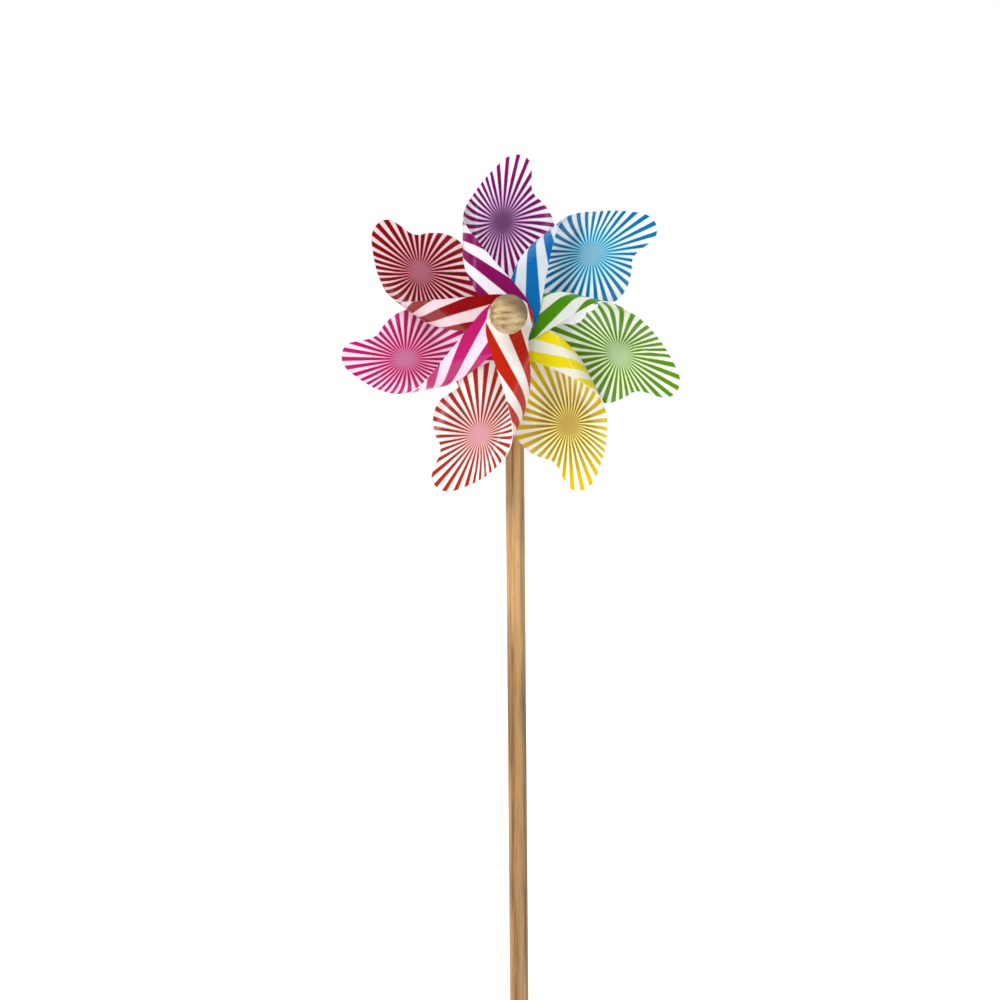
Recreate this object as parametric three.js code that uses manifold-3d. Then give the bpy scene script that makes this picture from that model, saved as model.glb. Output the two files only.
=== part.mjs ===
// Wind spinner: a seven-petal film pinwheel that turns on a steel pin through the top of a wooden stick.
// Millimetres. Origin at the centre of the stick's lower end, +Z up the stick, the wheel faces -Y.
import * as THREE from "three";
import { mergeVertices } from "three/addons/utils/BufferGeometryUtils.js";
import Module from "manifold-3d";

const wasm = await Module();
wasm.setup();

// Gaps
const GAP = 0.3; // between touching pieces
const LOOSE_FIT = 0.4; // round and behind the petals, which sit loosely on the hub

// Stick: a plain round dowel, drilled across near its top
const STICK_RADIUS = 5;
const STICK_LENGTH = 500;
const STICK_TOP_CHAMFER = 0.8;
const STICK_FOOT_CHAMFER = 0.4;
const HUB_HEIGHT = 488;
const DRILL_LENGTH = 20; // longer than the stick is thick

// Axle pin and what it carries; "depth" is the distance in front of the stick's axis, along -Y
const PIN_RADIUS = 1;
const BORE_RADIUS = PIN_RADIUS + GAP;
const PIN_HEAD_RADIUS = 3;
const PIN_HEAD_THICKNESS = 1.2;
const PIN_HEAD_SHOULDER = { radius: 2.7, depth: 0.72 }; // where the head's dome starts to round over
const PIN_HEAD_CROWN_RADIUS = 1.5;
const BEAD_RADIUS = 6;
const BEAD_END_RADIUS = 4.6;
const BEAD_LENGTH = 10;
const BEAD_DEPTH = STICK_RADIUS + GAP;
const FLANGE_RADIUS = 8;
const FLANGE_THICKNESS = 1;
const FLANGE_DEPTH = BEAD_DEPTH + BEAD_LENGTH + GAP;
const CORE_RADIUS = 2.2;
const SPACER_RADIUS = 4;
const SPACER_WALL = 1.4;
const WASHER_RADIUS = 7;
const WASHER_THICKNESS = 1;
const BALL_RADIUS = 9.1;
const BALL_BORE_LENGTH = 12;
const PIN_END_CLEARANCE = 1;

// Film: every petal has a hole at each end; the holes lie one over another in a rear and a front stack
const FILM = 0.3;
const LEVEL = FILM + GAP; // from one sheet of a stack to the next
const PETAL_COUNT = 7;
const REAR_STACK_DEPTH = FLANGE_DEPTH + FLANGE_THICKNESS + LOOSE_FIT;
const STACK_SPACING = 20; // from the rear stack to the front stack
const FRONT_STACK_DEPTH = REAR_STACK_DEPTH + STACK_SPACING;
const STACK_THICKNESS = PETAL_COUNT * FILM + (PETAL_COUNT - 1) * GAP;
const HOLE_RADIUS = CORE_RADIUS + LOOSE_FIT;

const SPACER_DEPTH = REAR_STACK_DEPTH + STACK_THICKNESS + GAP;
const SPACER_LENGTH = FRONT_STACK_DEPTH - GAP - SPACER_DEPTH;
const WASHER_DEPTH = FRONT_STACK_DEPTH + STACK_THICKNESS + GAP;
const CORE_END_DEPTH = WASHER_DEPTH + WASHER_THICKNESS + GAP;
const BALL_DEPTH = CORE_END_DEPTH + GAP + BALL_RADIUS;
const PIN_END_DEPTH = BALL_DEPTH - BALL_RADIUS + BALL_BORE_LENGTH - PIN_END_CLEARANCE;

// Petal, laid flat: u runs towards the wheel's clockwise side and v outwards along the petal.
// The rear hole is at (0, 0) and the front hole at (-FRONT_HOLE_U, 0).
const FRONT_HOLE_U = 59;
const REAR_TAB_RADIUS = 11.2;
const FRONT_TAB_RADIUS = 11.4;
const REAR_TAB_ARC = [185, 370]; // degrees, measured about each hole
const FRONT_TAB_ARC = [155, 365];
const TAB_POINTS = 7;
const RIGHT_EDGE = [ // from the rear tab: a rounded lobe, the waist that clears the next fold, the wide bulge
  [12, 15], [14.8, 22.4], [17.6, 25.6], [18.8, 29.4], [18, 34], [14.6, 37.2], [17.4, 41.4], [21.2, 46.6],
  [22.2, 52.5], [20.4, 58.8], [15.6, 65.2], [11.6, 68.8], [10.1, 72.6],
];
const TIP = [
  [10.1, 80], [9.4, 85.6], [6.3, 88.8], [1.8, 89.8], [-3, 88.3], [-7.4, 84.6],
];
const LEFT_EDGE = [ // over the fold and along the arm's free edge
  [-14.9, 76.7], [-21.1, 68], [-29.5, 56.3], [-39.7, 43.8], [-51.1, 29.7], [-61.6, 17.7], [-67, 10.6],
];
const LOWER_EDGE = [ // between the two tabs, up into the fold and down again
  [-46.9, 5.5], [-44, 11.8], [-38.7, 20.9], [-34, 30], [-31, 35.4], [-27.4, 38.2], [-23.4, 37.2],
  [-19.6, 32.5], [-16.2, 24], [-13.6, 13], [-11.7, 5],
];
const STEPS_PER_POINT = 2; // outline points from one stated point to the next
const HOLE_SAMPLES = 12;
const CAMBER_START_U = 8; // the flat sheet bends back from here to its clockwise edge
const CAMBER_RADIUS = 35;
const WIDEST_U = 23; // just past the petal's widest point
const FOLD_STRIPS = 12;
const CAMBER_STRIPS = 3;

// The petals clockwise from the top one. "turn" is how far each sits off the even spacing, in degrees.
// "rear" and "front" are its places in the stacks, 0 deepest: one arm goes over the next all round.
// "armTurn" is how far its arm is twisted about the axle, anticlockwise, against the rest of it.
const PETALS = [
  { name: "blade_purple", colour: 0x8c0f69, turn: -0.5, rear: 5, front: 3 },
  { name: "blade_blue", colour: 0x0570c6, turn: -0.4, rear: 6, front: 2 },
  { name: "blade_green", colour: 0x4b9105, turn: -5.5, rear: 0, front: 1, armTurn: 8 },
  { name: "blade_yellow", colour: 0xebdc0f, turn: 0, rear: 1, front: 0 },
  { name: "blade_orange", colour: 0xd7230a, turn: 2.6, rear: 2, front: 6 },
  { name: "blade_pink", colour: 0xe11e87, turn: -3, rear: 3, front: 5 },
  { name: "blade_red", colour: 0xa5050a, turn: 1.9, rear: 4, front: 4 },
];
const FIRST_PETAL_ANGLE = 90;
const AXLE = new THREE.Vector2(0, 0); // in the frame of a laid-out petal

const ROUND = 32; // sides of small round pieces
const DOWEL_SIDES = 40; // sides of the stick and the ball
const BALL_STEPS = 20;
const BEAD_STEPS = 8;
const WELD = 1e-4; // points closer than this are one point
const KEYS_PER_MILLIMETRE = 1e4;

const WOOD_ROUGHNESS = 0.55;
const FILM_ROUGHNESS = 0.25;
const PLASTIC = { colour: 0xf2f2f0, roughness: 0.4 };
const STEEL = { colour: 0xb8bcc0, roughness: 0.35, metalness: 1 };
const STICK_COLOUR = 0xbf9660;
const BALL_COLOUR = 0xc3a878;

// ---- helpers ----

function material({ colour, roughness, metalness = 0 }) {
  return new THREE.MeshStandardMaterial({ color: colour, roughness, metalness });
}

function positionsOnly(geometry) {
  const bare = geometry.clone();
  bare.deleteAttribute("normal");
  bare.deleteAttribute("uv");
  return mergeVertices(bare, WELD);
}

function toManifold(geometry) {
  const merged = positionsOnly(geometry);
  return new wasm.Manifold(
    new wasm.Mesh({
      numProp: 3,
      vertProperties: merged.attributes.position.array,
      triVerts: new Uint32Array(merged.index.array),
    }),
  );
}

function fromManifold(solid) {
  const mesh = solid.getMesh();
  const geometry = new THREE.BufferGeometry();
  geometry.setAttribute("position", new THREE.BufferAttribute(mesh.vertProperties, 3));
  geometry.setIndex(new THREE.BufferAttribute(mesh.triVerts, 1));
  return geometry;
}

function subtract(body, cutter) {
  return fromManifold(toManifold(body).subtract(toManifold(cutter)));
}

// A turned piece on the axle: profile points are [radius, depth], front end first
function turnedOnAxle(profile, sides = ROUND) {
  const points = profile.map(([radius, depth]) => new THREE.Vector2(radius, -depth));
  return new THREE.LatheGeometry(points, sides);
}

// A ring with a square section, on the axle
function ring(inner, outer, depth, length) {
  const front = depth + length;
  return turnedOnAxle([[inner, front], [outer, front], [outer, depth], [inner, depth], [inner, front]]);
}

function part(name, geometry, look) {
  const mesh = new THREE.Mesh(geometry, look);
  mesh.name = name;
  return mesh;
}

// ---- stick, pin, ball and bead ----

function stick() {
  const profile = [
    [0, 0], [STICK_RADIUS - STICK_FOOT_CHAMFER, 0], [STICK_RADIUS, STICK_FOOT_CHAMFER],
    [STICK_RADIUS, STICK_LENGTH - STICK_TOP_CHAMFER],
    [STICK_RADIUS - STICK_TOP_CHAMFER, STICK_LENGTH], [0, STICK_LENGTH],
  ].map(([radius, height]) => new THREE.Vector2(radius, height));
  const dowel = new THREE.LatheGeometry(profile, DOWEL_SIDES).rotateX(Math.PI / 2);
  const drill = new THREE.CylinderGeometry(BORE_RADIUS, BORE_RADIUS, DRILL_LENGTH, ROUND);
  drill.translate(0, 0, HUB_HEIGHT);
  return part("stick", subtract(dowel, drill), material({ colour: STICK_COLOUR, roughness: WOOD_ROUGHNESS }));
}

// The nail-like pin: a low domed head behind the stick, its point inside the ball
function axlePin() {
  const headFace = -(STICK_RADIUS + GAP);
  const headBack = headFace - PIN_HEAD_THICKNESS;
  const profile = [
    [0, PIN_END_DEPTH], [PIN_RADIUS, PIN_END_DEPTH], [PIN_RADIUS, headFace], [PIN_HEAD_RADIUS, headFace],
    [PIN_HEAD_SHOULDER.radius, headFace - PIN_HEAD_SHOULDER.depth], [PIN_HEAD_CROWN_RADIUS, headBack],
    [0, headBack],
  ];
  return part("axle_pin", turnedOnAxle(profile), material(STEEL));
}

function frontBall() {
  const back = BALL_DEPTH - BALL_RADIUS;
  const bottomOfBore = back + BALL_BORE_LENGTH;
  const mouth = Math.acos(BORE_RADIUS / BALL_RADIUS);
  const profile = [];
  for (let i = 0; i <= BALL_STEPS; i += 1) {
    const angle = Math.PI / 2 - (i / BALL_STEPS) * (Math.PI / 2 + mouth);
    profile.push([BALL_RADIUS * Math.cos(angle), BALL_DEPTH + BALL_RADIUS * Math.sin(angle)]);
  }
  profile[0][0] = 0;
  profile.push([BORE_RADIUS, bottomOfBore], [0, bottomOfBore]);
  const look = material({ colour: BALL_COLOUR, roughness: WOOD_ROUGHNESS });
  return part("front_ball", turnedOnAxle(profile, DOWEL_SIDES), look);
}

// A barrel-shaped bead that keeps the wheel clear of the stick
function rearBead() {
  const front = BEAD_DEPTH + BEAD_LENGTH;
  const profile = [[BORE_RADIUS, front]];
  for (let i = 0; i <= BEAD_STEPS; i += 1) {
    const along = i / BEAD_STEPS;
    const swell = Math.sin(Math.PI * along);
    profile.push([BEAD_END_RADIUS + (BEAD_RADIUS - BEAD_END_RADIUS) * swell, front - BEAD_LENGTH * along]);
  }
  profile.push([BORE_RADIUS, BEAD_DEPTH], [BORE_RADIUS, front]);
  const look = material({ colour: BALL_COLOUR, roughness: WOOD_ROUGHNESS });
  return part("rear_bead", turnedOnAxle(profile), look);
}

// ---- wheel hub ----

// A flange behind the petals with a thin tube that runs forward through both stacks of holes
function hubCore() {
  const flangeFront = FLANGE_DEPTH + FLANGE_THICKNESS;
  const profile = [
    [BORE_RADIUS, CORE_END_DEPTH], [CORE_RADIUS, CORE_END_DEPTH], [CORE_RADIUS, flangeFront],
    [FLANGE_RADIUS, flangeFront], [FLANGE_RADIUS, FLANGE_DEPTH], [BORE_RADIUS, FLANGE_DEPTH],
    [BORE_RADIUS, CORE_END_DEPTH],
  ];
  return part("hub_core", turnedOnAxle(profile), material(PLASTIC));
}

function spacerTube() {
  const inner = SPACER_RADIUS - SPACER_WALL;
  return part("spacer_tube", ring(inner, SPACER_RADIUS, SPACER_DEPTH, SPACER_LENGTH), material(PLASTIC));
}

function frontWasher() {
  const inner = CORE_RADIUS + GAP;
  return part("front_washer", ring(inner, WASHER_RADIUS, WASHER_DEPTH, WASHER_THICKNESS), material(PLASTIC));
}

// ---- petals ----

function tabArc(centreU, radius, [from, to]) {
  return Array.from({ length: TAB_POINTS }, (_, i) => {
    const angle = THREE.MathUtils.degToRad(from + ((to - from) * i) / (TAB_POINTS - 1));
    return [centreU + radius * Math.cos(angle), radius * Math.sin(angle)];
  });
}

// The flat petal with its two punched holes
function petalShape() {
  const outline = [
    ...RIGHT_EDGE, ...TIP, ...LEFT_EDGE,
    ...tabArc(-FRONT_HOLE_U, FRONT_TAB_RADIUS, FRONT_TAB_ARC),
    ...LOWER_EDGE,
    ...tabArc(0, REAR_TAB_RADIUS, REAR_TAB_ARC),
  ].map(([u, v]) => new THREE.Vector3(u, v, 0));
  const curve = new THREE.CatmullRomCurve3(outline, true, "centripetal");
  const smooth = curve.getPoints(STEPS_PER_POINT * outline.length).slice(1);
  const shape = new THREE.Shape(smooth.map((p) => new THREE.Vector2(p.x, p.y)));
  for (const u of [0, -FRONT_HOLE_U]) {
    const points = [];
    for (let i = 0; i < HOLE_SAMPLES; i += 1) {
      const angle = (-2 * Math.PI * i) / HOLE_SAMPLES;
      points.push(new THREE.Vector2(u + HOLE_RADIUS * Math.cos(angle), HOLE_RADIUS * Math.sin(angle)));
    }
    shape.holes.push(new THREE.Path(points));
  }
  return shape;
}

// Where the fold begins, so that both holes come to lie on the axle
function foldStart(foldRadius) {
  return (Math.PI * foldRadius - FRONT_HOLE_U) / 2;
}

// How a sheet bends: for each u the place { x, z } of its middle surface and the direction { nx, nz }
// that faces the inside of the fold. Every straight line along v stays straight.
function sheetBend(foldRadius) {
  const start = foldStart(foldRadius);
  return (u) => {
    if (u > CAMBER_START_U) {
      const angle = (u - CAMBER_START_U) / CAMBER_RADIUS;
      return {
        x: CAMBER_START_U + CAMBER_RADIUS * Math.sin(angle),
        z: -CAMBER_RADIUS * (1 - Math.cos(angle)),
        nx: Math.sin(angle),
        nz: Math.cos(angle),
      };
    }
    const angle = (start - u) / foldRadius;
    if (angle <= 0) return { x: u, z: 0, nx: 0, nz: 1 };
    if (angle >= Math.PI) {
      return { x: start + (angle - Math.PI) * foldRadius, z: 2 * foldRadius, nx: 0, nz: -1 };
    }
    return {
      x: start - foldRadius * Math.sin(angle),
      z: foldRadius * (1 - Math.cos(angle)),
      nx: Math.sin(angle),
      nz: Math.cos(angle),
    };
  };
}

// The u values at which the flat sheet is split, so that it bends in narrow flat strips
function creases(foldRadius) {
  const start = foldStart(foldRadius);
  const lines = [];
  for (let i = 0; i <= FOLD_STRIPS; i += 1) lines.push(start - (Math.PI * foldRadius * i) / FOLD_STRIPS);
  lines.reverse();
  for (let i = 0; i < CAMBER_STRIPS; i += 1) {
    lines.push(CAMBER_START_U + ((WIDEST_U - CAMBER_START_U) * i) / CAMBER_STRIPS);
  }
  return lines;
}

// The part of a convex polygon on one side of the line u = at
function clip(polygon, at, keepBelow) {
  const inside = (p) => (keepBelow ? p.x <= at : p.x >= at);
  const kept = [];
  polygon.forEach((p, i) => {
    const q = polygon[(i + 1) % polygon.length];
    if (inside(p)) kept.push(p);
    if (inside(p) !== inside(q) && p.x !== at && q.x !== at) {
      const [a, b] = p.x < q.x ? [p, q] : [q, p];
      kept.push(new THREE.Vector2(at, a.y + ((b.y - a.y) * (at - a.x)) / (b.x - a.x)));
    }
  });
  return kept;
}

function splitAtCreases(triangle, lines) {
  const bounds = [-Infinity, ...lines, Infinity];
  const pieces = [];
  for (let i = 0; i + 1 < bounds.length; i += 1) {
    const piece = clip(clip(triangle, bounds[i], false), bounds[i + 1], true);
    if (piece.length >= 3) pieces.push(piece);
  }
  return pieces;
}

// The flat petal as triangles that no crease crosses, with one shared list of points
function flatTriangles(lines) {
  const flat = new THREE.ShapeGeometry(petalShape());
  const position = flat.attributes.position;
  const points = [];
  const keys = new Map();
  const indexOf = (p) => {
    const key = `${Math.round(p.x * KEYS_PER_MILLIMETRE)},${Math.round(p.y * KEYS_PER_MILLIMETRE)}`;
    if (!keys.has(key)) {
      keys.set(key, points.length);
      points.push(p);
    }
    return keys.get(key);
  };
  const triangles = [];
  for (let i = 0; i < flat.index.count; i += 3) {
    const corners = [0, 1, 2].map((k) => {
      const at = flat.index.getX(i + k);
      return new THREE.Vector2(position.getX(at), position.getY(at));
    });
    for (const piece of splitAtCreases(corners, lines)) {
      const ids = piece.map(indexOf);
      for (let k = 1; k + 1 < ids.length; k += 1) {
        const triangle = [ids[0], ids[k], ids[k + 1]];
        if (new Set(triangle).size === 3) triangles.push(triangle);
      }
    }
  }
  return { points, triangles };
}

// The bent sheet as one closed solid: two faces FILM apart and the cut edge between them
function petalGeometry({ rear, front, armTurn = 0 }) {
  const foldRadius = (STACK_SPACING + (front - rear) * LEVEL) / 2;
  const bend = sheetBend(foldRadius);
  const twist = (u) => { // grows over the front half of the fold and stays the same along the arm
    const angle = (foldStart(foldRadius) - u) / foldRadius;
    return THREE.MathUtils.degToRad(armTurn) * THREE.MathUtils.smoothstep(angle, Math.PI / 2, Math.PI);
  };
  const { points, triangles } = flatTriangles(creases(foldRadius));
  const middle = FILM / 2 + rear * LEVEL;
  const place = (p, side) => {
    const at = bend(p.x);
    const spot = new THREE.Vector2(at.x + side * at.nx * (FILM / 2), p.y);
    spot.rotateAround(AXLE, twist(p.x));
    return [spot.x, spot.y, middle + at.z + side * at.nz * (FILM / 2)];
  };
  const vertices = [...points.map((p) => place(p, 1)), ...points.map((p) => place(p, -1))].flat();
  const back = points.length;
  const index = [];
  const edges = new Map();
  for (const [a, b, c] of triangles) {
    index.push(a, b, c, back + a, back + c, back + b);
    for (const [p, q] of [[a, b], [b, c], [c, a]]) {
      if (!edges.delete(`${q},${p}`)) edges.set(`${p},${q}`, [p, q]);
    }
  }
  for (const [p, q] of edges.values()) index.push(p, back + p, q, q, back + p, back + q);
  const geometry = new THREE.BufferGeometry();
  geometry.setAttribute("position", new THREE.Float32BufferAttribute(vertices, 3));
  geometry.setIndex(index);
  return geometry;
}

// A petal's own frame has x to the clockwise side, y outwards and z to the front
function petal(spec, order) {
  const look = material({ colour: spec.colour, roughness: FILM_ROUGHNESS });
  const mesh = part(spec.name, petalGeometry(spec), look);
  const angle = FIRST_PETAL_ANGLE - (order * 360) / PETAL_COUNT + spec.turn;
  const radians = THREE.MathUtils.degToRad(angle);
  const outwards = new THREE.Vector3(Math.cos(radians), 0, Math.sin(radians));
  const forwards = new THREE.Vector3(0, -1, 0);
  const clockwise = new THREE.Vector3().crossVectors(outwards, forwards);
  mesh.quaternion.setFromRotationMatrix(new THREE.Matrix4().makeBasis(clockwise, outwards, forwards));
  mesh.position.set(0, -REAR_STACK_DEPTH, 0);
  return mesh;
}

// ---- assembly ----

const onAxle = new THREE.Group();
onAxle.position.z = HUB_HEIGHT;
onAxle.add(axlePin(), frontBall(), rearBead(), hubCore(), spacerTube(), frontWasher());
onAxle.add(...PETALS.map(petal));

const spinner = new THREE.Group();
spinner.add(stick(), onAxle);

export default spinner;
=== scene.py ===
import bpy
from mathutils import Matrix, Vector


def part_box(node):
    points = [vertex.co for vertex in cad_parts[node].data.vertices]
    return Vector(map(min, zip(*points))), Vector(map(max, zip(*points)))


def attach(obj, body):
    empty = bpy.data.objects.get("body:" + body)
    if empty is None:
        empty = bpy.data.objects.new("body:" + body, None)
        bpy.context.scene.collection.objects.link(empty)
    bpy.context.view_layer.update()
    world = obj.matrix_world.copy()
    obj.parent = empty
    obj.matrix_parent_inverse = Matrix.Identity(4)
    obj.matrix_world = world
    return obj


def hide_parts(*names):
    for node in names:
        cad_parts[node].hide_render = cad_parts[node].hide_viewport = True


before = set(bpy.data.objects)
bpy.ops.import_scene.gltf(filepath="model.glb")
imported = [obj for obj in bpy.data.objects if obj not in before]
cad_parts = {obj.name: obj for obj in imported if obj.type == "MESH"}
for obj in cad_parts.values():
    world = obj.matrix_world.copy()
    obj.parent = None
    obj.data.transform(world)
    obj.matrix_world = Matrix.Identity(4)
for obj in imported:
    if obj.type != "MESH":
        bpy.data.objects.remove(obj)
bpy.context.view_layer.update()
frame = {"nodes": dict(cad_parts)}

# Wind spinner: seven printed film petals on a plastic hub, a wooden ball and a wooden stick.
# Shapes are in millimetres until a mesh is made. Materials, lights and the camera use Blender's metres.
from math import acos, cos, pi, radians, sin, tau

import bmesh
import bpy
import numpy as np
from mathutils import Quaternion, Vector
from mathutils.geometry import delaunay_2d_cdt

MM = 0.001
WHITE = (1, 1, 1, 1)

# ---- places, from the frame ----

hub_low, hub_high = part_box("hub_core")
_, spacer_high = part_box("spacer_tube")
HUB_HEIGHT = (hub_low.z + hub_high.z) / 2 / MM

# ---- the film petals: laid flat, u runs to the wheel's clockwise side and v outwards ----

FILM = 0.3
GAP = 0.3
LEVEL = FILM + GAP  # from one sheet of a stack to the next
PETAL_COUNT = 7
STACK_THICKNESS = PETAL_COUNT * FILM + (PETAL_COUNT - 1) * GAP
REAR_STACK_DEPTH = -spacer_high.y / MM - GAP - STACK_THICKNESS
STACK_SPACING = 20
HOLE_RADIUS = 2.6
FRONT_HOLE_U = 59  # the rear hole is at (0, 0) and the front hole at (-FRONT_HOLE_U, 0)
HOLES_U = (0, -FRONT_HOLE_U)
REAR_TAB_RADIUS = 11.2
FRONT_TAB_RADIUS = 11.4
TAB_POINTS = 7
REAR_TAB_ARC = (185, 370)
FRONT_TAB_ARC = (155, 365)
RIGHT_EDGE = [
    (12, 15), (14.8, 22.4), (17.6, 25.6), (18.8, 29.4), (18, 34), (14.6, 37.2), (17.4, 41.4),
    (21.2, 46.6), (22.2, 52.5), (20.4, 58.8), (15.6, 65.2), (11.6, 68.8), (10.1, 72.6),
]
TIP = [(10.1, 80), (9.4, 85.6), (6.3, 88.8), (1.8, 89.8), (-3, 88.3), (-7.4, 84.6)]
LEFT_EDGE = [
    (-14.9, 76.7), (-21.1, 68), (-29.5, 56.3), (-39.7, 43.8), (-51.1, 29.7), (-61.6, 17.7), (-67, 10.6),
]
LOWER_EDGE = [
    (-46.9, 5.5), (-44, 11.8), (-38.7, 20.9), (-34, 30), (-31, 35.4), (-27.4, 38.2), (-23.4, 37.2),
    (-19.6, 32.5), (-16.2, 24), (-13.6, 13), (-11.7, 5),
]
CAMBER_START_U = 8  # the sheet bends back from here to its clockwise edge
CAMBER_RADIUS = 35
STEPS_PER_POINT = 9
HOLE_SIDES = 36
GRID = 1.4  # spacing of the points inside the sheet
GRID_MARGIN = 0.5  # how far they stay from its edge
SAME_POINT = 1e-6

# The petals clockwise from the top one. "turn" is how far each sits off the even spacing, in degrees, and
# "rear" and "front" are its places in the two stacks. "arm_turn" is how far its arm is twisted about the
# axle, in degrees. The print is placed differently on each: "middle" is where its rays meet, "squeeze" and
# "lean" are how far they are pressed together across the petal and lean along it, and "inside" and
# "outside" are how far they are turned on each face, in degrees. "share" is how much of the inside is ink,
# near the middle and far out, and "disc_end" is where the soft disc in the middle has faded out.
PETALS = [
    {"name": "purple", "turn": -0.5, "rear": 5, "front": 3,
     "middle": (-4.8, 55.4), "squeeze": 0.89, "lean": 0.04, "inside": 0.0, "outside": 1.2,
     "share": (0.57, 0.40), "disc_end": 12},
    {"name": "blue", "turn": -0.4, "rear": 6, "front": 2,
     "middle": (-4.0, 55.2), "squeeze": 0.91, "lean": 0.10, "inside": -0.1, "outside": 0.5,
     "share": (0.50, 0.46), "disc_end": 8.5},
    {"name": "green", "turn": -5.5, "rear": 0, "front": 1, "arm_turn": 8,
     "middle": (-4.8, 56.0), "squeeze": 0.98, "lean": 0.26, "inside": -0.7, "outside": -0.4,
     "share": (0.60, 0.45), "disc_end": 8.5},
    {"name": "yellow", "turn": 0, "rear": 1, "front": 0,
     "middle": (-4.4, 56.6), "squeeze": 0.90, "lean": 0.08, "inside": 0.9, "outside": 2.8,
     "share": (0.56, 0.48), "disc_end": 9},
    {"name": "orange", "turn": 2.6, "rear": 2, "front": 6,
     "middle": (-5.4, 56.0), "squeeze": 0.90, "lean": 0.06, "inside": -3.6, "outside": 1.7,
     "share": (0.52, 0.46), "disc_end": 8.5},
    {"name": "pink", "turn": -3, "rear": 3, "front": 5,
     "middle": (-4.0, 56.8), "squeeze": 0.86, "lean": 0.08, "inside": -1.8, "outside": 1.7,
     "share": (0.57, 0.49), "disc_end": 8.5},
    {"name": "red", "turn": 1.9, "rear": 4, "front": 4,
     "middle": (-3.4, 56.6), "squeeze": 0.85, "lean": 0.04, "inside": -0.6, "outside": 1.8,
     "share": (0.64, 0.53), "disc_end": 8.5},
]
FIRST_PETAL_ANGLE = 90


def close_spline(points, steps):
    """A closed centripetal Catmull-Rom curve through the points, as a list of (u, v)."""
    points = [np.array(p, float) for p in points]
    count = len(points)
    curve = []
    for i in range(count):
        p0, p1, p2, p3 = (points[(i + k) % count] for k in (-1, 0, 1, 2))
        d0, d1, d2 = (np.sqrt(np.linalg.norm(b - a)) for a, b in ((p0, p1), (p1, p2), (p2, p3)))
        leave = ((p1 - p0) / d0 - (p2 - p0) / (d0 + d1) + (p2 - p1) / d1) * d1
        reach = ((p2 - p1) / d1 - (p3 - p1) / (d1 + d2) + (p3 - p2) / d2) * d1
        for k in range(steps):
            t = k / steps
            curve.append(tuple(
                p1 + leave * t + (3 * (p2 - p1) - 2 * leave - reach) * t**2
                + (2 * (p1 - p2) + leave + reach) * t**3
            ))
    return curve


def tab_arc(centre_u, radius, arc):
    start, end = arc
    angles = [radians(start + (end - start) * i / (TAB_POINTS - 1)) for i in range(TAB_POINTS)]
    return [(centre_u + radius * cos(a), radius * sin(a)) for a in angles]


def inside(loop, places):
    """Which of the places, rows of (u, v), lie inside a closed loop."""
    loop = np.array(loop)
    result = np.zeros(len(places), bool)
    for (u0, v0), (u1, v1) in zip(loop, np.roll(loop, -1, axis=0)):
        crosses = (v0 > places[:, 1]) != (v1 > places[:, 1])
        if v0 != v1:
            at = (u1 - u0) * (places[:, 1] - v0) / (v1 - v0) + u0
            result ^= crosses & (places[:, 0] < at)
    return result


def from_holes(places):
    """How far each place is from the middle of the nearer hole."""
    return np.minimum(*(np.hypot(places[:, 0] - u, places[:, 1]) for u in HOLES_U))


def flat_sheet():
    """The flat petal with its two holes: the (u, v) points and the triangles between them."""
    outline = close_spline(
        RIGHT_EDGE + TIP + LEFT_EDGE + tab_arc(-FRONT_HOLE_U, FRONT_TAB_RADIUS, FRONT_TAB_ARC)
        + LOWER_EDGE + tab_arc(0, REAR_TAB_RADIUS, REAR_TAB_ARC),
        STEPS_PER_POINT,
    )
    turns = [tau * i / HOLE_SIDES for i in range(HOLE_SIDES)]
    holes = [[(u + HOLE_RADIUS * cos(a), HOLE_RADIUS * sin(a)) for a in turns] for u in HOLES_U]
    points, edges = [], []
    for loop in [outline] + holes:
        first = len(points)
        points += loop
        edges += [(first + i, first + (i + 1) % len(loop)) for i in range(len(loop))]
    rim = np.array(points)
    low, high = rim.min(0), rim.max(0)
    us, vs = (np.arange(low[k], high[k], GRID) for k in (0, 1))
    grid = np.array([(u, v) for u in us for v in vs])
    grid = grid[inside(outline, grid)]
    gap = np.array([np.min(np.hypot(*(rim - g).T)) for g in grid])
    grid = grid[(gap > GRID_MARGIN) & (from_holes(grid) > HOLE_RADIUS)]
    points += [tuple(g) for g in grid]
    found = delaunay_2d_cdt([Vector(p) for p in points], edges, [], 0, SAME_POINT, False)
    points, triangles = np.array([tuple(p) for p in found[0]]), np.array(found[2])
    middles = points[triangles].mean(axis=1)
    solid = from_holes(middles) > HOLE_RADIUS * cos(pi / HOLE_SIDES)
    kept = triangles[inside(outline, middles) & solid]
    return points, [tuple(int(i) for i in t) for t in kept]


def fold_start(fold_radius):
    """The u at which the fold begins, so that both holes come to lie on the axle."""
    return (pi * fold_radius - FRONT_HOLE_U) / 2


def bend(u, fold_radius):
    """Where the line at u of the bent sheet runs: (x, z, and the direction that faces inside the fold)."""
    if u > CAMBER_START_U:
        a = (u - CAMBER_START_U) / CAMBER_RADIUS
        return CAMBER_START_U + CAMBER_RADIUS * sin(a), -CAMBER_RADIUS * (1 - cos(a)), sin(a), cos(a)
    start = fold_start(fold_radius)
    a = (start - u) / fold_radius
    if a <= 0:
        return u, 0, 0, 1
    if a >= pi:
        return start + (a - pi) * fold_radius, 2 * fold_radius, 0, -1
    return start - fold_radius * sin(a), fold_radius * (1 - cos(a)), sin(a), cos(a)


def arm_turn(u, fold_radius, spec):
    """How far the line at u is twisted about the axle: nothing until halfway round the fold, then more."""
    past = (fold_start(fold_radius) - u) / fold_radius
    share = min(max(past / (pi / 2) - 1, 0), 1)
    return radians(spec.get("arm_turn", 0)) * share * share * (3 - 2 * share)


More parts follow.
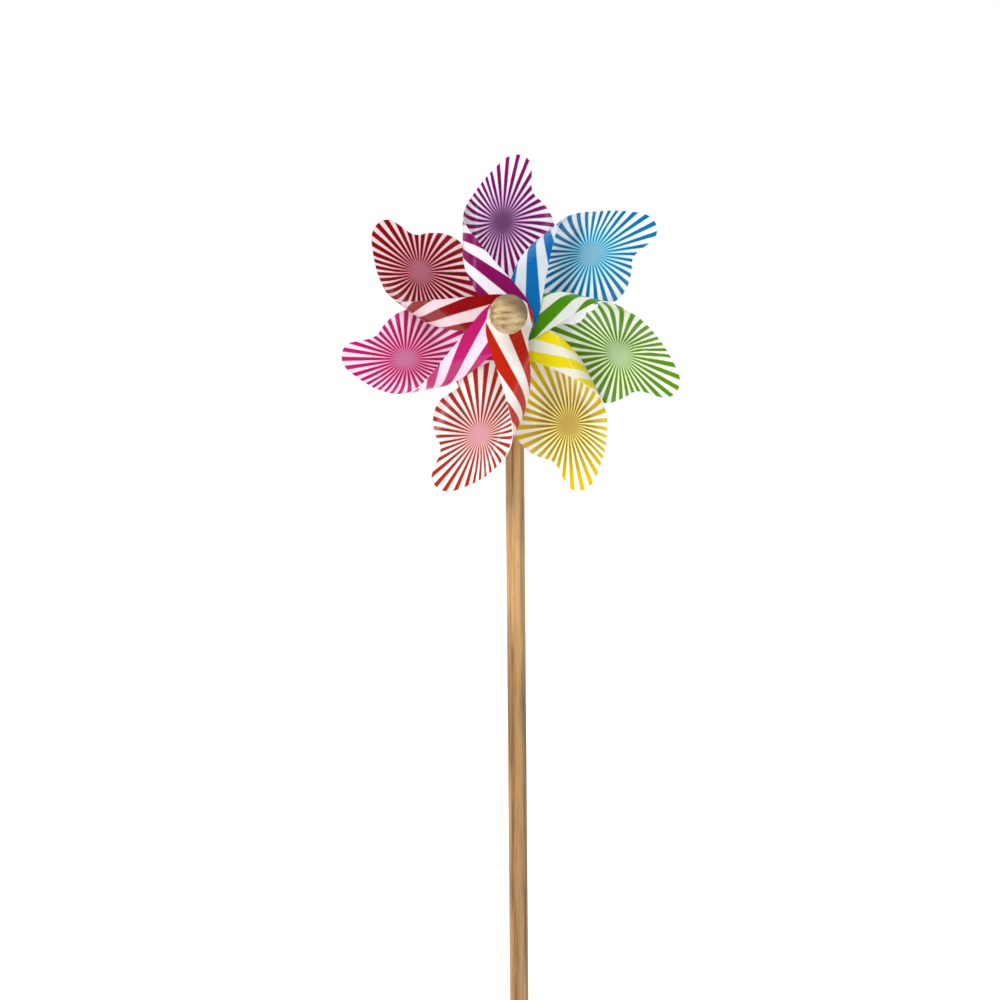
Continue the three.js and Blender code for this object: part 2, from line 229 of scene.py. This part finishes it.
def new_object(name, vertices, faces):
    """A smooth mesh object from vertices in millimetres."""
    mesh = bpy.data.meshes.new(name)
    mesh.from_pydata([Vector(p) * MM for p in vertices], [], faces)
    mesh.polygons.foreach_set("use_smooth", [True] * len(mesh.polygons))
    made = bpy.data.objects.new(name, mesh)
    bpy.context.scene.collection.objects.link(made)
    return made


def sorted_pairs(edges, shift=0):
    return {(min(p, q) + shift, max(p, q) + shift) for p, q in edges}


def petal(order, spec, sheet):
    """One petal: its flat sheet bent over the fold, two faces FILM apart, and the cut edge between."""
    points, triangles = sheet
    fold_radius = (STACK_SPACING + (spec["front"] - spec["rear"]) * LEVEL) / 2
    angle = radians(FIRST_PETAL_ANGLE - order * 360 / PETAL_COUNT + spec["turn"])
    offset = REAR_STACK_DEPTH + FILM / 2 + spec["rear"] * LEVEL
    vertices = []
    for side in (1, -1):
        for u, v in points:
            x, z, nx, nz = bend(u, fold_radius)
            x += side * nx * FILM / 2
            z += side * nz * FILM / 2 + offset
            away = angle + arm_turn(u, fold_radius, spec)
            vertices.append((
                x * sin(away) + v * cos(away), -z, HUB_HEIGHT - x * cos(away) + v * sin(away)
            ))
    back = len(points)
    faces, border = [], {}
    for a, b, c in triangles:
        faces += [(a, b, c), (back + a, back + c, back + b)]
        for p, q in ((a, b), (b, c), (c, a)):
            if border.pop((q, p), None) is None:
                border[(p, q)] = True
    faces += [(p, back + p, back + q, q) for p, q in border]
    made = new_object("petal_" + spec["name"], vertices, faces)
    mesh = made.data
    rims = sorted_pairs(border) | sorted_pairs(border, back)
    for edge in mesh.edges:
        edge.use_edge_sharp = (min(edge.vertices), max(edge.vertices)) in rims
    flat = mesh.uv_layers.new(name="Flat")
    for loop in mesh.loops:
        flat.data[loop.index].uv = points[loop.vertex_index % back]
    face = mesh.attributes.new("film_side", "FLOAT", "POINT")
    face.data.foreach_set("value", [1.0] * back + [-1.0] * back)
    return made


# ---- materials ----


def linear(level):
    """A display level from 0 to 255 as a linear one."""
    share = level / 255
    return share / 12.92 if share <= 0.04045 else ((share + 0.055) / 1.055) ** 2.4


def paint(red, green, blue):
    """A display colour from 0 to 255 as the linear colour that shaders take."""
    return (linear(red), linear(green), linear(blue), 1)


def connect(links, socket, value):
    """Joins a socket to another one, or sets its plain value."""
    if isinstance(value, bpy.types.NodeSocket):
        links.new(value, socket)
    else:
        socket.default_value = value


NOISE_RANGE = (0.3, 0.7)  # where most of a noise's values lie


class Tree:
    """A material's nodes, with short calls for the ones used here. Inputs are sockets or plain values."""

    def __init__(self, name):
        self.material = bpy.data.materials.new(name)
        self.material.use_nodes = True
        self.nodes = self.material.node_tree.nodes
        self.links = self.material.node_tree.links
        self.shader = self.nodes["Principled BSDF"]

    def add(self, kind, inputs=None, **settings):
        node = self.nodes.new(kind)
        for key, value in settings.items():
            setattr(node, key, value)
        for key, value in (inputs or {}).items():
            connect(self.links, node.inputs[key], value)
        return node

    def math(self, operation, *values, clamp=False):
        return self.add(
            "ShaderNodeMath", dict(enumerate(values)), operation=operation, use_clamp=clamp
        ).outputs[0]

    def ramp(self, value, start, end, low=0.0, high=1.0):
        """Low before start, high after end, and a soft step between."""
        return self.add("ShaderNodeMapRange", {
            "Value": value, "From Min": start, "From Max": end, "To Min": low, "To Max": high,
        }, interpolation_type="SMOOTHSTEP").outputs["Result"]

    def mix(self, share, a, b, blend="MIX"):
        node = self.add("ShaderNodeMix", {"Factor": share, 6: a, 7: b}, data_type="RGBA", blend_type=blend)
        return node.outputs[2]

    def mix_value(self, share, a, b):
        return self.add("ShaderNodeMix", {"Factor": share, 2: a, 3: b}, data_type="FLOAT").outputs[0]

    def noise(self, place, scale, detail=3.0, roughness=0.5, distortion=0.0):
        return self.add("ShaderNodeTexNoise", {
            "Vector": place, "Scale": scale, "Detail": detail, "Roughness": roughness,
            "Distortion": distortion,
        }).outputs["Fac"]

    def place(self, stretch=(1, 1, 1), turn=(0, 0, 0)):
        """Coordinates fixed to the object, in metres, turned and stretched."""
        coordinates = self.add("ShaderNodeTexCoord").outputs["Object"]
        return self.add("ShaderNodeMapping", {
            "Vector": coordinates, "Rotation": turn, "Scale": stretch,
        }, vector_type="POINT").outputs["Vector"]

    def measure(self, operation, fixed):
        """The place's dot product with a fixed vector, or its distance from it, in metres."""
        node = self.add("ShaderNodeVectorMath", {0: self.place(), 1: fixed}, operation=operation)
        return node.outputs["Value"]

    def set(self, **values):
        for key, value in values.items():
            connect(self.links, self.shader.inputs[key.replace("_", " ")], value)

    def bump(self, height, strength, distance):
        node = self.add("ShaderNodeBump", {"Height": height, "Strength": strength, "Distance": distance})
        self.set(Normal=node.outputs["Normal"])


RAYS = 36
RAY_SOFTNESS = 0.4
ARM_SHARE = 0.52  # how much of the outside is ink
SHARE_REACH = (20, 32)  # where the share of ink inside changes, from the middle of the rays
ARM_START_U = -10
ARM_SQUEEZE = 0.64
ARM_LEAN = 0.05
DISC_START = 2.5
# where the painted shade near the middle of the rays fades out, for ink and for white
SHADED_INK_REACH = (8, 30)
SHADED_WHITE_REACH = (7, 24)
FACE_STEP = (-0.05, 0.05)  # of film_side, which is 1 inside and -1 outside
CUT_STEP = (0.97, 0.99)  # of its size, which falls only on the cut edge

# What each petal is printed with, and painted shade. Inside the fold: ink, ink near the middle (darker, as
# painted shade deep in the curl), the middle disc, white near the middle (the print's tint, darkened as
# painted shade) and white further out. Outside the fold: ink and white, both toned down as painted shade
# on the arms.
INKS = {
    "purple": ((122, 12, 91), (79, 14, 71), (101, 58, 100), (199, 152, 201), (245, 228, 244),
               (120, 7, 81), (223, 215, 223)),
    "blue": ((4, 104, 158), (27, 104, 140), (116, 168, 190), (134, 212, 238), (222, 238, 246),
             (4, 93, 154), (189, 198, 207)),
    "green": ((82, 134, 6), (96, 124, 36), (172, 200, 148), (218, 246, 184), (231, 240, 222),
              (63, 120, 4), (198, 203, 195)),
    "yellow": ((209, 184, 14), (143, 104, 24), (186, 156, 77), (246, 234, 134), (249, 243, 228),
               (214, 197, 10), (216, 214, 199)),
    "orange": ((164, 38, 9), (132, 49, 41), (207, 149, 157), (250, 192, 186), (250, 242, 239),
               (173, 29, 5), (230, 221, 216)),
    "pink": ((168, 19, 95), (128, 20, 66), (178, 106, 138), (230, 116, 168), (247, 204, 220),
             (175, 22, 98), (228, 204, 221)),
    "red": ((120, 3, 8), (86, 2, 8), (157, 91, 107), (218, 126, 143), (232, 192, 199),
            (130, 2, 5), (217, 191, 197)),
}
CUT_EDGE = (240, 238, 236)
BARE_WHITE = (238, 238, 240)
BARE_CORNER = {"blue": (7.5, 36.0)}  # unprinted beyond this u and below this v
BARE_SOFTNESS = 0.4
FILM_CLOUD = {"scale": 45, "detail": 4}
FILM_CLOUD_INK = (0.35, 0.75, 0.0, 0.08)
FILM_SMUDGE = {"scale": 120, "detail": 5, "roughness": 0.6}
FILM_ROUGHNESS = (0.22, 0.30)
FILM_GLOSS = {"Coat_Weight": 0.25, "Coat_Roughness": 0.2, "IOR": 1.38}
FILM_RIPPLE = {"scale": 55, "detail": 1}
FILM_BUMP = (0.06, 0.001)


def rays(tree, spec, u, v, inner):
    """The print's rays as (how far from their middle, how much ink)."""
    middle_u, middle_v = spec["middle"]
    body = tree.math("SUBTRACT", tree.math("MAXIMUM", u, ARM_START_U), middle_u)
    body = tree.math("DIVIDE", body, spec["squeeze"])
    arm = tree.math("SUBTRACT", tree.math("MINIMUM", u, ARM_START_U), ARM_START_U)
    arm = tree.math("DIVIDE", arm, ARM_SQUEEZE)
    across = tree.math("ADD", body, arm)
    along = tree.math("SUBTRACT", v, middle_v)
    along = tree.math("SUBTRACT", along, tree.math("MULTIPLY", body, spec["lean"]))
    along = tree.math("SUBTRACT", along, tree.math("MULTIPLY", arm, ARM_LEAN * ARM_SQUEEZE))
    reach = tree.math("ADD", tree.math("MULTIPLY", across, across), tree.math("MULTIPLY", along, along))
    reach = tree.math("SQRT", reach)

    # within: 0 in the middle of a coloured ray and 1 in the middle of a white one
    turned_by = tree.mix_value(inner, *(0.5 - RAYS * spec[k] / 360 for k in ("outside", "inside")))
    turn = tree.math("MULTIPLY", tree.math("ARCTAN2", across, along), RAYS / tau)
    within = tree.math("PINGPONG", tree.math("ADD", turn, turned_by), 0.5)
    within = tree.math("MULTIPLY", within, 2)
    share = tree.mix_value(inner, ARM_SHARE, tree.ramp(reach, *SHARE_REACH, *spec["share"]))
    edge = tree.math("MULTIPLY", reach, pi / RAYS / RAY_SOFTNESS)
    edge = tree.math("MULTIPLY", edge, tree.math("SUBTRACT", within, share))
    return reach, tree.math("SUBTRACT", 0.5, edge, clamp=True)


def bare_corner(tree, corner, u, v):
    """1 on the unprinted corner of the film and 0 elsewhere."""
    corner_u, corner_v = corner
    return tree.math(
        "MULTIPLY",
        tree.ramp(u, corner_u - BARE_SOFTNESS, corner_u + BARE_SOFTNESS),
        tree.ramp(v, corner_v - BARE_SOFTNESS, corner_v + BARE_SOFTNESS, 1.0, 0.0),
    )


def film(spec):
    """Glossy printed film: rays about a soft disc, wider on the arm."""
    name = spec["name"]
    tree = Tree("film_" + name)
    ink, shaded_ink, disc, shaded_near_white, far_white, arm_ink, plain = (paint(*c) for c in INKS[name])
    flat = tree.add("ShaderNodeUVMap", uv_map="Flat").outputs["UV"]
    split = tree.add("ShaderNodeSeparateXYZ", {"Vector": flat}).outputs
    u, v = split["X"], split["Y"]
    side = tree.add("ShaderNodeAttribute", attribute_name="film_side").outputs["Fac"]
    inner = tree.ramp(side, *FACE_STEP)
    reach, ray = rays(tree, spec, u, v, inner)

    # painted shade: inside the fold, ink and white darken towards the middle of the rays, deep in the curl
    shade = tree.mix(tree.ramp(reach, *SHADED_INK_REACH), shaded_ink, ink)
    white = tree.mix(tree.ramp(reach, *SHADED_WHITE_REACH), shaded_near_white, far_white)
    # the outside ink and white are toned down as painted shade on the arms
    colour = tree.mix(ray, tree.mix(inner, plain, white), tree.mix(inner, arm_ink, shade))
    colour = tree.mix(tree.ramp(reach, DISC_START, spec["disc_end"], 1.0, 0.0), colour, disc)
    if name in BARE_CORNER:
        colour = tree.mix(bare_corner(tree, BARE_CORNER[name], u, v), colour, paint(*BARE_WHITE))
    place = tree.place()
    cloud = tree.noise(place, **FILM_CLOUD)
    colour = tree.mix(tree.ramp(cloud, *FILM_CLOUD_INK), colour, ink, blend="MULTIPLY")
    cut = tree.ramp(tree.math("ABSOLUTE", side), *CUT_STEP, 1.0, 0.0)
    colour = tree.mix(cut, colour, paint(*CUT_EDGE))
    smudge = tree.noise(place, **FILM_SMUDGE)
    tree.set(Base_Color=colour, Roughness=tree.ramp(smudge, *NOISE_RANGE, *FILM_ROUGHNESS), **FILM_GLOSS)
    tree.bump(tree.noise(place, **FILM_RIPPLE), *FILM_BUMP)
    return tree.material


WOOD_LIGHT = (210, 170, 114)
WOOD_MID = (180, 136, 82)
WOOD_DARK = (116, 78, 40)
DARK_TONE = (0.36, 0.52)  # of a wood's tone, where it goes from dark to middling
FIBRES = {"scale": 1600, "detail": 6, "roughness": 0.65}
STREAKS = {"scale": 330, "detail": 3, "distortion": 0.4}
PORES = {"scale": 2600, "detail": 2}
CLOUDS = {"scale": 40, "detail": 3}
FIBRE_WEIGHT, STREAK_WEIGHT = 0.45, 0.55
LIGHT_TONE = (0.48, 0.68)
CLOUD_DARK = (0.4, 0.75, 0.0, 0.35)
PORE_DARK = (0.66, 0.72, 0.0, 0.6)
STICK_HIGHLIGHT = (228, 194, 140)
STICK_HIGHLIGHT_SIDE = (0.34, -0.94, 0)  # the side of the stick with the pale painted highlight streak
STICK_HIGHLIGHT_ACROSS = (0.94, 0.34, 0)
STICK_HIGHLIGHT_DRIFT = 0.006
STICK_HIGHLIGHT_WIDTH = (0.0004, 0.0028, 0.3, 0.0)
STICK_HIGHLIGHT_DEPTH = (0, 0.002)
LOWER_TINT = (220, 213, 194)  # tints the lower length of the stick
LOWER_TINT_LINE = (0.30, 0.36)
DOWEL_ROUGHNESS = (0.62, 0.46)


def dowel_wood():
    """Pale birch-like dowel: fine fibres along the stick, soft streaks and small dark pores."""
    tree = Tree("dowel_wood")
    fibres = tree.noise(tree.place((1, 1, 0.02)), **FIBRES)
    streaks = tree.noise(tree.place((1, 1, 0.05)), **STREAKS)
    pores = tree.noise(tree.place((1, 1, 0.05)), **PORES)
    clouds = tree.noise(tree.place((1, 1, 0.3)), **CLOUDS)
    tone = tree.math(
        "ADD", tree.math("MULTIPLY", fibres, FIBRE_WEIGHT), tree.math("MULTIPLY", streaks, STREAK_WEIGHT)
    )
    colour = tree.mix(tree.ramp(tone, *DARK_TONE), paint(*WOOD_DARK), paint(*WOOD_MID))
    colour = tree.mix(tree.ramp(tone, *LIGHT_TONE), colour, paint(*WOOD_LIGHT))
    colour = tree.mix(tree.ramp(clouds, *CLOUD_DARK), colour, paint(*WOOD_DARK), blend="MULTIPLY")
    # a pale streak down the front right of the stick: a painted highlight, drifting a little with the
    # clouds
    drift = tree.math("MULTIPLY", tree.math("SUBTRACT", clouds, 0.5), STICK_HIGHLIGHT_DRIFT)
    off = tree.math("ABSOLUTE", tree.math("ADD", tree.measure("DOT_PRODUCT", STICK_HIGHLIGHT_ACROSS), drift))
    toward = tree.measure("DOT_PRODUCT", STICK_HIGHLIGHT_SIDE)
    painted_highlight = tree.math("MULTIPLY", tree.ramp(off, *STICK_HIGHLIGHT_WIDTH), tree.ramp(toward, *STICK_HIGHLIGHT_DEPTH))
    colour = tree.mix(painted_highlight, colour, paint(*STICK_HIGHLIGHT))
    colour = tree.mix(tree.ramp(pores, *PORE_DARK), colour, paint(*WOOD_DARK))
    height = tree.add("ShaderNodeSeparateXYZ", {"Vector": tree.place()}).outputs["Z"]
    lower_share = tree.ramp(height, *LOWER_TINT_LINE, 1.0, 0.0)
    colour = tree.mix(lower_share, colour, paint(*LOWER_TINT), blend="MULTIPLY")
    tree.set(Base_Color=colour, Roughness=tree.ramp(fibres, *NOISE_RANGE, *DOWEL_ROUGHNESS))
    tree.set(Coat_Weight=0.08, Coat_Roughness=0.35)
    tree.bump(fibres, strength=0.25, distance=0.0003)
    return tree.material


TURNED_TILT = (0, radians(10), radians(20))
BANDS_PER_METRE = 300
BAND_WARP = 2.0
TURNED_WARP = {"scale": 90, "detail": 2}
TURNED_FIBRES = {"scale": 1100, "detail": 5, "roughness": 0.6}
TURNED_BLOTCH = {"scale": 210, "detail": 4}
BAND_WEIGHT, TURNED_FIBRE_WEIGHT, BLOTCH_WEIGHT = 0.22, 0.35, 0.55
TURNED_LIGHT_TONE = (0.50, 0.64)
DARK_SIDE_WARP = 0.006
DARK_SIDE_START, DARK_SIDE_END, DARK_SIDE_SHARE = 0.0015, 0.0085, 0.85
KNOT_FADE = (0.0004, 0.0013, 0.8, 0.0)
TURNED_ROUGHNESS = (0.55, 0.40)


def turned_wood(name, light, mid, dark, knot=None, dark_side=None):
    """Turned wood: faint growth bands and fine fibres. Where given, a small knot, and a darker tone
    towards one side."""
    tree = Tree(name)
    split = tree.add("ShaderNodeSeparateXYZ", {"Vector": tree.place(turn=TURNED_TILT)}).outputs
    warp = tree.noise(tree.place((0.5, 1, 1), TURNED_TILT), **TURNED_WARP)
    height = tree.math(
        "ADD", tree.math("MULTIPLY", split["Z"], BANDS_PER_METRE), tree.math("MULTIPLY", warp, BAND_WARP)
    )
    band = tree.math("PINGPONG", height, 0.5)
    fibres = tree.noise(tree.place((0.06, 1, 1), TURNED_TILT), **TURNED_FIBRES)
    blotch = tree.noise(tree.place((0.5, 1, 1), TURNED_TILT), **TURNED_BLOTCH)
    tone = tree.math("MULTIPLY", band, BAND_WEIGHT)
    tone = tree.math("ADD", tone, tree.math("MULTIPLY", fibres, TURNED_FIBRE_WEIGHT))
    tone = tree.math("ADD", tone, tree.math("MULTIPLY", blotch, BLOTCH_WEIGHT))
    colour = tree.mix(tree.ramp(tone, *DARK_TONE), paint(*dark), paint(*mid))
    colour = tree.mix(tree.ramp(tone, *TURNED_LIGHT_TONE), colour, paint(*light))
    # darker towards the given side
    if dark_side:
        toward = tree.measure("DOT_PRODUCT", Vector(dark_side))
        toward = tree.math("ADD", toward, tree.math("MULTIPLY", blotch, DARK_SIDE_WARP))
        level = HUB_HEIGHT * MM * dark_side[2]
        share = tree.ramp(toward, level + DARK_SIDE_START, level + DARK_SIDE_END, 0.0, DARK_SIDE_SHARE)
        colour = tree.mix(share, colour, paint(*dark))
    if knot:
        away = tree.measure("DISTANCE", Vector(knot) * MM)
        colour = tree.mix(tree.ramp(away, *KNOT_FADE), colour, paint(*WOOD_DARK))
    tree.set(Base_Color=colour, Roughness=tree.ramp(fibres, *NOISE_RANGE, *TURNED_ROUGHNESS))
    tree.set(Coat_Weight=0.12, Coat_Roughness=0.3)
    tree.bump(tone, strength=0.2, distance=0.0003)
    return tree.material


PLASTIC_TONES = ((236, 236, 232), (246, 246, 243))
STEEL_TONES = ((168, 171, 174), (206, 208, 210))
PAPER_TONES = ((247, 247, 247), (251, 251, 251))


def between(tree, share, tones):
    low, high = tones
    return tree.mix(share, paint(*low), paint(*high))


def hub_plastic():
    tree = Tree("hub_plastic")
    place = tree.place()
    cloud = tree.noise(place, scale=260, detail=4)
    grain = tree.noise(place, scale=2400, detail=2)
    tree.set(Base_Color=between(tree, cloud, PLASTIC_TONES))
    tree.set(Roughness=tree.ramp(grain, *NOISE_RANGE, low=0.34, high=0.46), Subsurface_Weight=0.1)
    tree.bump(grain, strength=0.12, distance=0.0002)
    return tree.material


def pin_steel():
    tree = Tree("pin_steel")
    brushed = tree.noise(tree.place((1, 0.05, 1)), scale=4000, detail=3)
    tree.set(Base_Color=between(tree, brushed, STEEL_TONES))
    tree.set(Roughness=tree.ramp(brushed, *NOISE_RANGE, low=0.24, high=0.4), Metallic=1.0)
    tree.bump(brushed, strength=0.15, distance=0.0002)
    return tree.material


def give(made, material):
    made.data.materials.clear()
    made.data.materials.append(material)


# ---- the turned ball ----

ROUND = 72
TURNED_SHARP_ANGLE = radians(40)
BORE_RADIUS = 1.3
BALL_BORE_LENGTH = 12
BALL_STEPS = 44


def turned(name, profile):
    """A piece turned on the axle. Profile points are (radius, y), in order along the section."""
    vertices, rings, faces = [], [], []
    for radius, y in profile:
        count = ROUND if radius > 0 else 1
        rings.append((len(vertices), count))
        for k in range(count):
            a = tau * k / ROUND
            vertices.append((radius * cos(a), y, HUB_HEIGHT + radius * sin(a)))
    for (a, a_count), (b, b_count) in zip(rings, rings[1:]):
        for k in range(ROUND):
            n = (k + 1) % ROUND
            if a_count == 1:
                faces.append((a, b + k, b + n))
            elif b_count == 1:
                faces.append((a + k, b, a + n))
            else:
                faces.append((a + k, b + k, b + n, a + n))
    made = new_object(name, vertices, faces)
    mesh = made.data
    mesh.set_sharp_from_angle(angle=TURNED_SHARP_ANGLE)
    work = bmesh.new()
    work.from_mesh(mesh)
    bmesh.ops.recalc_face_normals(work, faces=work.faces)
    work.to_mesh(mesh)
    work.free()
    return made


def span(node):
    """A turned CAD node's radius and front y, in millimetres."""
    low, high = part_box(node)
    return (high.x - low.x) / 2 / MM, low.y / MM


def wooden_ball():
    radius, front = span("front_ball")
    middle = front + radius
    mouth = acos(BORE_RADIUS / radius)
    profile = [(0, front)]
    for i in range(1, BALL_STEPS + 1):
        a = pi / 2 - (pi / 2 + mouth) * i / BALL_STEPS
        profile.append((max(radius * cos(a), 0), middle - radius * sin(a)))
    bottom = profile[-1][1] - BALL_BORE_LENGTH
    profile += [(BORE_RADIUS, bottom), (0, bottom)]
    return turned("wooden_ball", profile)


# ---- build ----

sheet = flat_sheet()
for order, spec in enumerate(PETALS):
    made = petal(order, spec, sheet)
    give(made, film(spec))
    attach(made, "wheel")
    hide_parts("blade_" + spec["name"])

BALL_TONES = ((204, 180, 132), (172, 146, 100), (104, 80, 46))
BALL_KNOT = (-7.2, -56, HUB_HEIGHT - 3)
# the ball is darker towards its upper right
BALL_DARK_SIDE = (0.5, 0, 0.866)
ball = wooden_ball()
give(ball, turned_wood("ball_wood", *BALL_TONES, knot=BALL_KNOT, dark_side=BALL_DARK_SIDE))
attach(ball, "stand")
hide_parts("front_ball")

NODE_SHARP_ANGLE = radians(32)
nodes = frame["nodes"]
for name, material in (
    ("stick", dowel_wood()),
    ("axle_pin", pin_steel()),
    ("rear_bead", turned_wood("bead_wood", *BALL_TONES)),
    ("hub_core", hub_plastic()),
    ("spacer_tube", hub_plastic()),
    ("front_washer", hub_plastic()),
):
    give(nodes[name], material)
    mesh = nodes[name].data
    mesh.polygons.foreach_set("use_smooth", [True] * len(mesh.polygons))
    mesh.set_sharp_from_angle(angle=NODE_SHARP_ANGLE)

# ---- floor, light and camera ----

hub = Vector((0, 0, HUB_HEIGHT * MM))
FLOOR_RADIUS = 6000
FLOOR_SIDES = 96
FLOOR_HEIGHT = -0.2
FLOOR_GLOW = 0.3
WORLD_FRONT = 0.06
WORLD_BACK = 0.75
WORLD_TOP = 0.44
WORLD_FRONT_TO_BACK = (-0.6, 0.8)  # over the direction's Y
WORLD_SIDE_TO_TOP = (0.35, 0.8)  # over its Z
KEY_FROM = (-0.45, -0.60, 0.75)
KEY_STRENGTH = 2.5
KEY_SOFTNESS = radians(26)
AREA_LIGHTS = (  # name, place, target, size and power
    ("left_strip", hub + Vector((-0.74, -1.0, 0.1)), hub, (0.12, 0.6), 3.4),
    ("right_strip", hub + Vector((0.66, -1.0, 0.2)), hub, (0.07, 0.7), 1.6),
    ("overhead", Vector((0, 0.4, 2.0)), Vector((0, 0.4, 0)), (1.6, 1.6), 8),
)
CAMERA_PLACE = Vector((0.0196, -0.410, -0.0906))
CAMERA_YAW = radians(3.875)
CAMERA_PITCH = radians(0.512)
CAMERA_ROLL = radians(-0.451)
LENS = 27.52


def floor():
    turns = [tau * k / FLOOR_SIDES for k in range(FLOOR_SIDES)]
    ring = [(FLOOR_RADIUS * cos(a), FLOOR_RADIUS * sin(a), FLOOR_HEIGHT) for a in turns]
    made = new_object("floor", ring, [tuple(range(FLOOR_SIDES))])
    tree = Tree("floor_paper")
    grain = tree.noise(tree.place(), scale=900, detail=3)
    tree.set(Base_Color=between(tree, grain, PAPER_TONES))
    tree.set(Roughness=0.9, Emission_Color=WHITE, Emission_Strength=FLOOR_GLOW)
    give(made, tree.material)


def area_light(name, place, target, size, power):
    data = bpy.data.lights.new(name, "AREA")
    data.shape = "RECTANGLE"
    data.size, data.size_y = size
    data.energy = power
    lamp = bpy.data.objects.new(name, data)
    lamp.location = place
    lamp.rotation_euler = (target - place).to_track_quat("-Z", "Y").to_euler()
    bpy.context.scene.collection.objects.link(lamp)


def studio_world():
    """Bright overhead and behind, dim where the flat film mirrors it; the background is plain white."""
    world = bpy.data.worlds.new("studio")
    bpy.context.scene.world = world
    world.use_nodes = True
    nodes, links = world.node_tree.nodes, world.node_tree.links

    def fade(value, start, end, low, high):
        step = nodes.new("ShaderNodeMapRange")
        step.interpolation_type = "SMOOTHSTEP"
        names = ("Value", "From Min", "From Max", "To Min", "To Max")
        for key, given in zip(names, (value, start, end, low, high)):
            connect(links, step.inputs[key], given)
        return step.outputs["Result"]

    split = nodes.new("ShaderNodeSeparateXYZ")
    links.new(nodes.new("ShaderNodeTexCoord").outputs["Generated"], split.inputs[0])
    level = fade(split.outputs["Y"], *WORLD_FRONT_TO_BACK, WORLD_FRONT, WORLD_BACK)
    level = fade(split.outputs["Z"], *WORLD_SIDE_TO_TOP, level, WORLD_TOP)
    light = nodes["Background"]
    links.new(level, light.inputs["Strength"])
    seen = nodes.new("ShaderNodeBackground")
    for background in (light, seen):
        background.inputs["Color"].default_value = WHITE
    choose = nodes.new("ShaderNodeMixShader")
    links.new(nodes.new("ShaderNodeLightPath").outputs["Is Camera Ray"], choose.inputs["Fac"])
    links.new(light.outputs[0], choose.inputs[1])
    links.new(seen.outputs[0], choose.inputs[2])
    links.new(choose.outputs[0], nodes["World Output"].inputs["Surface"])


def key_light():
    """One large soft lamp, high at the front left. Glossy surfaces don't mirror it."""
    data = bpy.data.lights.new("key", "SUN")
    data.energy = KEY_STRENGTH
    data.angle = KEY_SOFTNESS
    lamp = bpy.data.objects.new("key", data)
    lamp.rotation_euler = Vector(KEY_FROM).to_track_quat("Z", "Y").to_euler()
    lamp.visible_glossy = False
    bpy.context.scene.collection.objects.link(lamp)


def aim_camera():
    camera = bpy.data.objects.new("camera", bpy.data.cameras.new("camera"))
    bpy.context.scene.collection.objects.link(camera)
    camera.data.lens = LENS
    camera.location = hub + CAMERA_PLACE
    level_aim = Quaternion((0, 0, 1), CAMERA_YAW) @ Quaternion((1, 0, 0), pi / 2 + CAMERA_PITCH)
    camera.rotation_euler = (level_aim @ Quaternion((0, 0, 1), CAMERA_ROLL)).to_euler()
    bpy.context.scene.camera = camera
    bpy.context.scene.view_settings.view_transform = "Standard"


floor()
studio_world()
key_light()
for light in AREA_LIGHTS:
    area_light(*light)
aim_camera()
